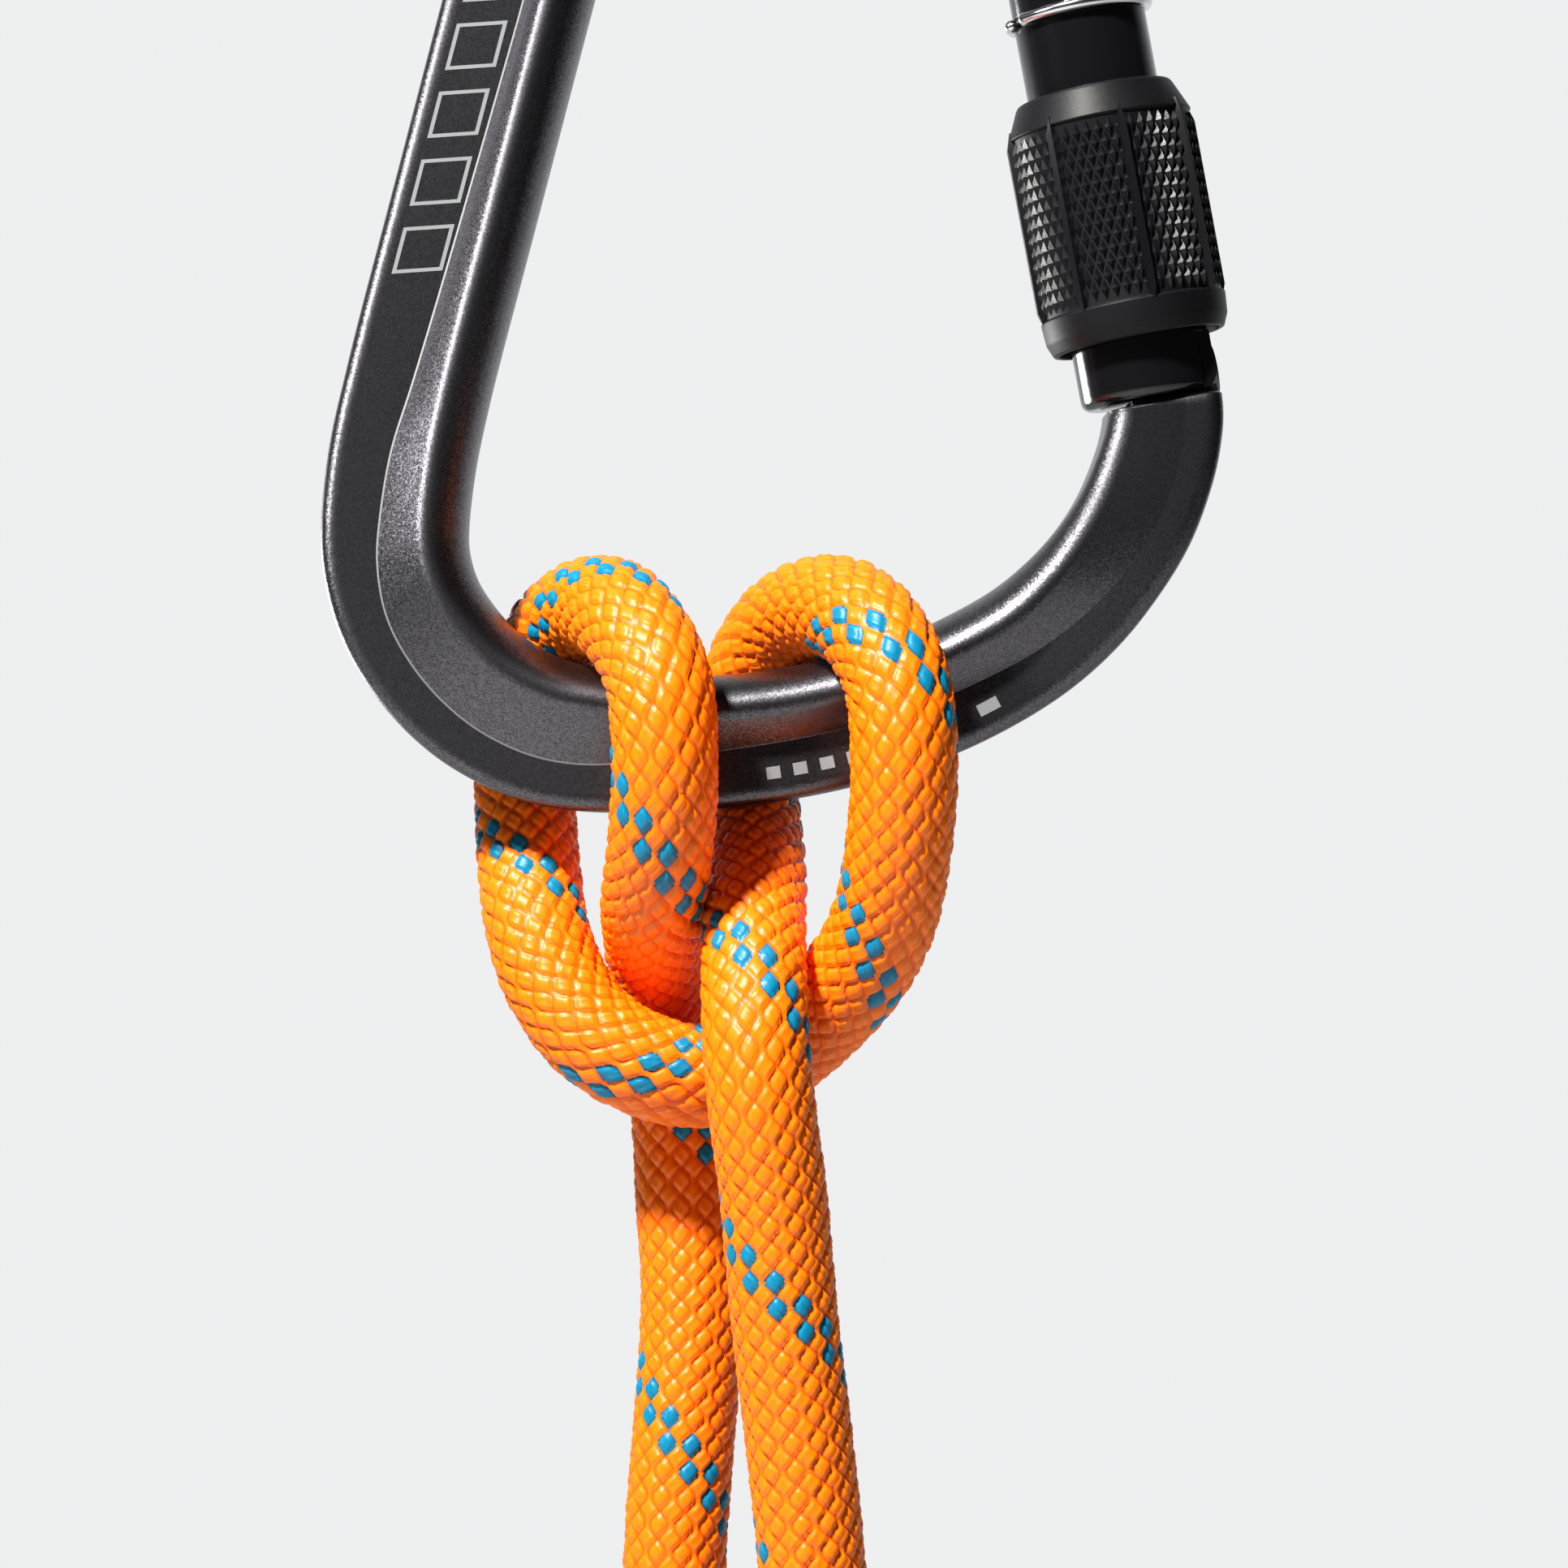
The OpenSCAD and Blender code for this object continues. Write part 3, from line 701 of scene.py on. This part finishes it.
def frame_marks(material):
    """Plain marks with no meaning: outlined leaning bars on the spine, and dashes on the wide bow."""
    line = bar_line()
    way = bar_ways(line)
    far = distances(line)
    spine = (line[:, 0] < -15) & (line[:, 1] < -20) & (line[:, 1] > -90)
    bottom = line[:, 1] < -90
    lowest_z, pitch = -66.0, 6.3
    start = float(np.interp(-lowest_z, -line[spine, 1], far[spine]))
    marks = [plate(line, way, *leaning_outline(start - pitch * i)) for i in range(6)]
    for x, size in ((-3.9, 1.2), (-1.6, 1.2), (0.7, 1.2), (3.0, 1.2), (14.4, 1.9)):
        middle = float(np.interp(x, line[bottom, 0], far[bottom]))
        a, b = middle - size / 2, middle + size / 2
        marks.append(plate(line, way, [(a, 2.1), (b, 2.1), (b, 3.2), (a, 3.2)]))
    return fitted(solid("frame_marks", joined(*marks)), material, "frame", [], crease=30)


def prism(outline, deep):
    """A plate of an (x, z) outline, from -deep to deep in y."""
    n = len(outline)
    points = [(x, y, z) for y in (-deep, deep) for x, z in outline]
    faces = [tuple(range(n)), tuple(range(2 * n - 1, n - 1, -1))]
    return points, faces + [(i, n + i, n + (i + 1) % n, (i + 1) % n) for i in range(n)]


def frame_tongue(material):
    """The hinge tongue with its eye, and the cam that the plunger bears on."""
    lean = math.radians(10.5)
    cam_x = -2.0 * math.cos(lean) + 2.2 * math.sin(lean)
    cam_z = -2.0 * math.sin(lean) - 2.2 * math.cos(lean)
    a = math.radians(18)
    root = [((BOW_R + out) * math.cos(a), BOW_Z + (BOW_R + out) * math.sin(a)) for out in (4.2, -4.2)]
    eye_r, cam_r = 4.2, 2.4
    eye = moved(cylinder(eye_r, -TONGUE_HALF, TONGUE_HALF, "y"), *PIN)
    cam = moved(cylinder(cam_r, -TONGUE_HALF, TONGUE_HALF, "y"), PIN[0] + cam_x, 0, PIN[2] + cam_z)
    web = prism([(PIN[0] - eye_r, PIN[2]), (PIN[0] + eye_r, PIN[2])] + root, TONGUE_HALF)
    tongue = solid("frame_tongue", eye)
    carved(tongue, cam, "UNION")
    carved(tongue, web, "UNION")
    carved(tongue, moved(cylinder(2.02, -4, 4, "y"), *PIN))
    return fitted(softened_edges(tongue, 0.25), material, "frame", [])


def frame_key(material):
    """The T-shaped nose key that the gate's pocket closes on."""
    key = solid("frame_key", moved(cylinder(2.2, -1.8, 6.3, "x"), 0, 0, KEY_Z))
    carved(key, block((-1.8, -1.7, KEY_Z - 3.5), (6.0, 1.7, KEY_Z)), "UNION")
    return fitted(softened_edges(key, 0.25), material, "frame", [], IN_GATE)


def hinge_rivet(material):
    """The rivet on the hinge's axis, with its two low heads."""
    profile = rounded([(0, -5.75, 0), (2.2, -5.7, 0.3), (2.8, -5.2, 0.3), (2.8, -5.1, 0), (2.0, -5.1, 0),
                       (2.0, 5.1, 0), (2.8, 5.1, 0), (2.8, 5.2, 0.3), (2.2, 5.7, 0.3), (0, 5.75, 0)])
    rivet = solid("hinge_rivet_pin", moved(laid_along("y", turned(profile, 64)), *PIN))
    return fitted(rivet, material, "frame", ["hinge_rivet"])


# ---------------------------------------------------------------- gate, ring and sleeve

# The gate's radius, the radius over its thread, and its lower end in its own frame, in mm
GATE_R, THREAD_R, GATE_LOW = 5.95, 6.2, -63.4


def cheek_flats():
    """Squares off the outer side of the gate's cheeks, with a rounded lower corner."""
    out, top = 5.9, -58.3
    corners = [(0, GATE_LOW, 0), (0, top, 0), (out, top, 0), (out, GATE_LOW, 1.6), (0, GATE_LOW + 0.001, 0)]
    return prism(rounded(corners, arcs=8)[:-1], 3.9)


def gate_profile():
    """The gate's outside, from its top to its cheeks, with the stop ring's seat and the thread."""
    seat = [(GATE_R, -27.35, 0.05), (GATE_R - 0.3, -27.4, 0.1), (GATE_R - 0.3, -28.4, 0.1),
            (GATE_R, -28.45, 0.05)]
    root = THREAD_R - 0.4
    thread = [(GATE_R, -41, 0.2), (THREAD_R, -41.5, 0.2)]
    for z in np.arange(-42.5, -50.6, -2):
        thread += [(THREAD_R, z, 0.1), (root, z - 0.5, 0.1), (root, z - 0.9, 0.1), (THREAD_R, z - 1.4, 0.1)]
    top = [(0, GATE_R, 0), (GATE_R, GATE_R, 0)]
    return rounded(top + seat + thread + [(THREAD_R, GATE_LOW, 1.1), (0, GATE_LOW, 0)], arcs=6)


def gate(material):
    """The gate's tube: rounded over the hinge, forked for the tongue, and slotted for the nose key."""
    tube = solid("gate_tube", turned(gate_profile(), 160))
    keep = solid("keep", cylinder(GATE_R, -9, 9, "y"))
    carved(keep, block((-10, -10, GATE_LOW - 1), (10, 10, 0)), "UNION")
    carved_by(tube, keep, "INTERSECT")
    carved(tube, cheek_flats(), "UNION")
    carved(tube, cylinder(3.0, -27, 13))
    carved(tube, block((-10, -2.5, -9), (10, 2.5, 11)))
    carved(tube, moved(cylinder(2.6, -2.2, 10, "x"), 0, 0, KEY_Z))
    carved(tube, block((-2.2, -1.9, GATE_LOW - 1), (10, 1.9, KEY_Z)))
    carved(tube, cylinder(2.05, -10, 10, "y"))
    carved(tube, cylinder(3.1, -7, -5.0, "y"))
    carved(tube, cylinder(3.1, 5.0, 7, "y"))
    softened_edges(tube, 0.22, angle=40)
    return fitted(tube, material, "gate", ["gate"], IN_GATE)


def stop_ring(material):
    """A bright wire ring sprung into the gate's groove, its two ends a little swollen."""
    wire, radius, sides = 0.5, 6.25, 20
    line = np.radians(np.linspace(208, 552, 173))
    rings = []
    for i, a in enumerate(line):
        end = min(i, len(line) - 1 - i) * (line[1] - line[0]) * radius
        swell = wire * (1 + 0.22 * math.exp(-((end - 0.7) / 0.5) ** 2))
        swell *= math.sqrt(max(0.02, min(1, 1 - (1 - min(1, end / 0.6)) ** 2)))
        ring = []
        for b in np.linspace(0, 2 * math.pi, sides, endpoint=False):
            out = radius + swell * math.cos(b)
            ring.append((out * math.cos(a), out * math.sin(a), -27.9 + swell * math.sin(b)))
        rings.append(ring)
    wire_ring = solid("stop_ring_wire", skin(rings))
    return fitted(wire_ring, material, "gate", ["stop_ring"], IN_GATE, crease=70)


def knurling(radius, depth, low, high, around, rows):
    """A closed band of diamond knurling: blunt four-sided points on a lattice of crossed grooves."""
    def at(n, z, r):
        angle = math.pi * n / around
        return (r * math.cos(angle), r * math.sin(angle), z)
    rise = (high - low) / rows
    points = [at(2 * j + m % 2, low + rise * m, radius - depth)
              for m in range(rows + 1) for j in range(around)]
    faces = []
    for m in range(rows - 1):
        odd = m % 2
        for j in range(around):
            n, z = 2 * j + odd, low + rise * (m + 1)
            valley = [m * around + j, (m + 1) * around + (j + odd) % around,
                      (m + 2) * around + j, (m + 1) * around + (j + odd - 1) % around]
            top = len(points)
            points += [at(n, z - 0.2 * rise, radius), at(n + 0.2, z, radius),
                       at(n, z + 0.2 * rise, radius), at(n - 0.2, z, radius)]
            faces.append((top, top + 1, top + 2, top + 3))
            faces += [(valley[i], valley[(i + 1) % 4], top + (i + 1) % 4, top + i) for i in range(4)]
    inner = len(points)
    for end, z in ((0, low), (rows, high)):
        points += [at(2 * j + end % 2, z, radius - depth - 0.4) for j in range(around)]
    for j in range(around):
        k, last = (j + 1) % around, rows * around
        faces.append((j, k, around + j))
        faces.append((last + j, last + k, last - around + (j + rows % 2) % around))
        faces.append((j, k, inner + k, inner + j))
        faces.append((last + j, last + k, inner + around + k, inner + around + j))
        faces.append((inner + j, inner + k, inner + around + k, inner + around + j))
    return points, faces


def rib(degrees, low, high, radius):
    """A thin upright rib with a narrow crown and pointed ends."""
    point, base, crown, proud = 1.6, 0.50, 0.27, 0.16
    across = Matrix.Rotation(math.radians(degrees), 3, "Z")
    rings = []
    for z, wide, out in ((low, 0.05, -0.3), (low + point, 1, proud),
                         (high - point, 1, proud), (high, 0.05, -0.3)):
        corners = ((-base * wide, -0.6), (-crown * wide, out), (crown * wide, out), (base * wide, -0.6))
        rings.append([tuple(across @ Vector((radius + rise, side, z))) for side, rise in corners])
    return skin(rings)


def screw_sleeve(material, grip_material):
    """The sleeve's turned body, and the knurled band with its eight ribs."""
    top, low = -35.2, -58.0
    outside = [(7.0, top, 0.25), (7.2, top - 0.3, 0.3), (8.40, top - 2.95, 0.3), (8.15, top - 3.1, 0.05),
               (8.15, low + 3.3, 0.05), (8.45, low + 3.15, 0.2), (8.3, low + 1.2, 0.8), (7.8, low, 0.35)]
    inside = [(7.35, low, 0.1), (7.35, -51, 0), (6.28, -50, 0), (6.28, -44, 0), (6.7, -43.6, 0),
              (6.7, -40.6, 0), (7.45, -40.6, 0), (7.45, -39.4, 0), (6.5, -39.4, 0), (6.5, top - 2, 0),
              (6.3, top - 1.6, 0)]
    profile = rounded([(6.3, top, 0)] + outside + inside + [(6.3, top - 0.02, 0)])
    ribs = [rib(45 * i - 82, low + 2.4, top - 2.2, radius=8.62) for i in range(8)]
    points = knurling(radius=8.5, depth=0.45, low=low + 3.3, high=top - 3.1, around=52, rows=14)
    body = solid("sleeve_body", turned(profile, 144))
    grip = solid("sleeve_grip", joined(points, *ribs))
    return [fitted(body, material, "sleeve", ["screw_sleeve"], IN_GATE, crease=24),
            fitted(grip, grip_material, "sleeve", [], IN_GATE, crease=24)]


def eye_cover(name, node, x, y, material):
    """A shrunk cover over the two stitched legs of a rope eye, waisted between them."""
    low, high, radius, half = -215, -187, 5.9, 5.0
    levels = [(low, 0.90), (low + 0.5, 0.985), (low + 1.6, 1.03), (low + 3.2, 1.0), ((low + high) / 2, 0.985),
              (high - 3.2, 1.0), (high - 1.6, 1.03), (high - 0.5, 0.985), (high, 0.90)]
    rings = []
    for z, swell in levels:
        ring = []
        for a in np.linspace(0, 2 * math.pi, 72, endpoint=False):
            waist = 1 - 0.10 * abs(math.cos(a)) ** 6
            to_leg = math.copysign(half * min(1, abs(math.sin(a)) * 2.2), math.sin(a))
            ring.append((x + radius * swell * waist * math.cos(a),
                         y + radius * swell * math.sin(a) + to_leg, z))
        rings.append(ring)
    return fitted(solid(name, skin(rings)), material, "frame", [node], crease=50)


# ---------------------------------------------------------------- finishes

def nodes_of(name):
    """A new material, and a helper that adds a node to it with its settings and links."""
    made = bpy.data.materials.new(name)
    made.use_nodes = True
    tree = made.node_tree

    def add(kind, links=(), values=(), **settings):
        node = tree.nodes.new(kind)
        for key, value in settings.items():
            setattr(node, key, value)
        for socket, value in values:
            node.inputs[socket].default_value = value
        for socket, source in links:
            tree.links.new(source, node.inputs[socket])
        return node
    return made, tree.nodes["Principled BSDF"], add, tree.links.new


def blasted(name, colour, roughness, metallic, grain, tilt, speckle, shine):
    """Anodised metal with a fine blasted grain: each grain leans and reflects in its own way."""
    made, shader, add, link = nodes_of(name)
    place = add("ShaderNodeTexCoord").outputs["Object"]
    grains = add("ShaderNodeTexVoronoi", [("Vector", place)], [("Scale", 1 / (grain * MM))])
    centred = add("ShaderNodeVectorMath", [(0, grains.outputs["Color"])], [(1, (0.5, 0.5, 0.5))],
                  operation="SUBTRACT")
    lean = add("ShaderNodeVectorMath", [(0, centred.outputs[0])], operation="SCALE")
    lean.inputs["Scale"].default_value = tilt
    facing = add("ShaderNodeNewGeometry").outputs["Normal"]
    leaning = add("ShaderNodeVectorMath", [(0, facing), (1, lean.outputs[0])], operation="ADD")
    normal = add("ShaderNodeVectorMath", [(0, leaning.outputs[0])], operation="NORMALIZE")
    link(normal.outputs[0], shader.inputs["Normal"])
    shader.inputs["Base Color"].default_value = (*colour, 1)
    if speckle:
        pick = add("ShaderNodeSeparateColor", [("Color", grains.outputs["Color"])]).outputs["Red"]
        strength = add("ShaderNodeMapRange", [("Value", pick)],
                       [("To Min", 1 - speckle), ("To Max", 1 + speckle)])
        speckled = add("ShaderNodeVectorMath", [(0, strength.outputs["Result"])], [(1, colour)],
                       operation="MULTIPLY")
        link(speckled.outputs[0], shader.inputs["Base Color"])
    shader.inputs["Roughness"].default_value = roughness
    shader.inputs["Metallic"].default_value = metallic
    shader.inputs["Specular IOR Level"].default_value = shine
    return made




def ramp(add, factor, first, last):
    """A colour ramp between two (position, colour) ends."""
    node = add("ShaderNodeValToRGB", [("Fac", factor)])
    for element, (position, colour) in zip(node.color_ramp.elements, (first, last)):
        element.position, element.color = position, (*colour, 1)
    return node.outputs["Color"]


def fibres_along(add):
    """Fine streaks along each yarn, a little twisted across it."""
    lay = add("ShaderNodeUVMap", uv_map="lay").outputs["UV"]
    apart = add("ShaderNodeSeparateXYZ", [("Vector", lay)])
    slant = add("ShaderNodeMath", [(0, apart.outputs["X"])], [(1, 0.35)], operation="MULTIPLY")
    twisted = add("ShaderNodeMath", [(0, apart.outputs["Y"]), (1, slant.outputs[0])], operation="ADD")
    place = add("ShaderNodeCombineXYZ", [("X", apart.outputs["X"]), ("Y", twisted.outputs[0])])
    stretched = add("ShaderNodeMapping", [("Vector", place.outputs["Vector"])],
                    [("Scale", (2.2, 26.0, 1.0))])
    noise = add("ShaderNodeTexNoise", [("Vector", stretched.outputs["Vector"])],
                [("Scale", 1.0), ("Detail", 2.0), ("Roughness", 0.55)])
    return noise.outputs["Fac"]


def sheath():
    """Braided nylon: orange yarns and a pair of blue ones, with fine fibres, and painted shade darkening the
    grooves between pads.
    """
    made, shader, add, link = nodes_of("rope_yarn")
    fibres = fibres_along(add)
    tracer = add("ShaderNodeAttribute", attribute_name="tracer").outputs["Fac"]
    raised = add("ShaderNodeAttribute", attribute_name="height").outputs["Fac"]
    orange = ramp(add, fibres, (0.3, (0.95, 0.145, 0.001)), (0.7, (1.0, 0.225, 0.002)))
    blue = ramp(add, fibres, (0.3, (0.001, 0.12, 0.25)), (0.7, (0.003, 0.25, 0.42)))
    # Painted shade: the colour is darkened and reddened towards the bottom of the grooves between pads,
    # following the pads' height.
    groove = ramp(add, raised, (0.0, (0.90, 0.50, 0.48)), (0.5, (1, 1, 1)))
    colour = add("ShaderNodeMix", data_type="RGBA")
    link(tracer, colour.inputs["Factor"])
    link(orange, colour.inputs["A"])
    link(blue, colour.inputs["B"])
    groove_shaded = add("ShaderNodeMix", data_type="RGBA", blend_type="MULTIPLY")
    groove_shaded.inputs["Factor"].default_value = 1.0
    link(colour.outputs["Result"], groove_shaded.inputs["A"])
    link(groove, groove_shaded.inputs["B"])
    link(groove_shaded.outputs["Result"], shader.inputs["Base Color"])
    bump = add("ShaderNodeBump", [("Height", fibres)], [("Strength", 0.5), ("Distance", 0.05 * MM)])
    link(bump.outputs["Normal"], shader.inputs["Normal"])
    shader.inputs["Roughness"].default_value = 0.35
    shader.inputs["Specular IOR Level"].default_value = 0.30
    return made


def shrunk_plastic():
    """Dark heat-shrunk plastic with a slight ripple."""
    made, shader, add, link = nodes_of("shrunk_plastic")
    place = add("ShaderNodeTexCoord").outputs["Object"]
    ripple = add("ShaderNodeTexNoise", [("Vector", place)], [("Scale", 700.0), ("Detail", 3.0)])
    bump = add("ShaderNodeBump", [("Height", ripple.outputs["Fac"])],
               [("Strength", 0.3), ("Distance", 0.15 * MM)])
    link(bump.outputs["Normal"], shader.inputs["Normal"])
    shader.inputs["Base Color"].default_value = (0.016, 0.016, 0.018, 1)
    shader.inputs["Roughness"].default_value = 0.42
    return made


# ---------------------------------------------------------------- the scene

def surface_of(obj):
    """An object's surface, for finding the nearest point on it, and its box."""
    points = [v.co.copy() for v in obj.data.vertices]
    tree = BVHTree.FromPolygons(points, [tuple(p.vertices) for p in obj.data.polygons])
    grid = np.array(points)
    return {"tree": tree, "box": (grid.min(axis=0), grid.max(axis=0))}


def finish_inner_parts(steel, rubber):
    """The spring, its plunger and the sleeve's ring keep their CAD shapes, and get a finish."""
    for name, material in (("gate_spring", steel), ("spring_plunger", steel), ("sleeve_ring", rubber)):
        node = frame["nodes"][name]
        node.data.materials.clear()
        node.data.materials.append(material)


def build():
    """Finishes, then the pieces, then the room and its lights."""
    camera()
    anodised = blasted("frame_grey_black", (0.088, 0.086, 0.094), 0.33, 1.0, 0.11, 0.14, 0.45, 0.5)
    glossy = blasted("gate_black", (0.004, 0.004, 0.005), 0.13, 0.0, 0.2, 0.015, 0.0, 0.5)
    satin = blasted("sleeve_black", (0.004, 0.004, 0.005), 0.46, 0.0, 0.10, 0.05, 0.0, 0.17)
    grip = blasted("sleeve_knurl_black", (0.004, 0.004, 0.005), 0.34, 0.0, 0.10, 0.05, 0.0, 0.28)
    steel = plain("bright_steel", (0.62, 0.62, 0.64), 0.18, 1.0)
    # Painted highlight: a lighter colour for the thin strip along the flange's edge.
    painted_edge_light = plain("painted_edge_highlight", (0.12, 0.12, 0.125), 0.5, 0.35)
    etched = plain("etched_grey", (0.22, 0.23, 0.23), 0.5, 0.35)
    rubber = plain("dark_rubber", (0.02, 0.02, 0.022), 0.6)
    plastic = shrunk_plastic()
    bar = frame_bar(anodised)
    covers = [eye_cover("front_eye_cover", "eye_cover_front", 0.5, -16, plastic),
              eye_cover("back_eye_cover", "eye_cover_back", -13, 10, plastic)]
    rope(sheath(), surface_of(bar))
    forged = [bar, flange_edge(painted_edge_light), frame_marks(etched), frame_tongue(anodised), frame_key(anodised)]
    machined = [hinge_rivet(steel), gate(glossy), stop_ring(steel)] + screw_sleeve(satin, grip)
    finish_inner_parts(steel, rubber)
    stage()
    pale_room()
    lights(forged, machined)
    scene.view_settings.view_transform = "Standard"


build()
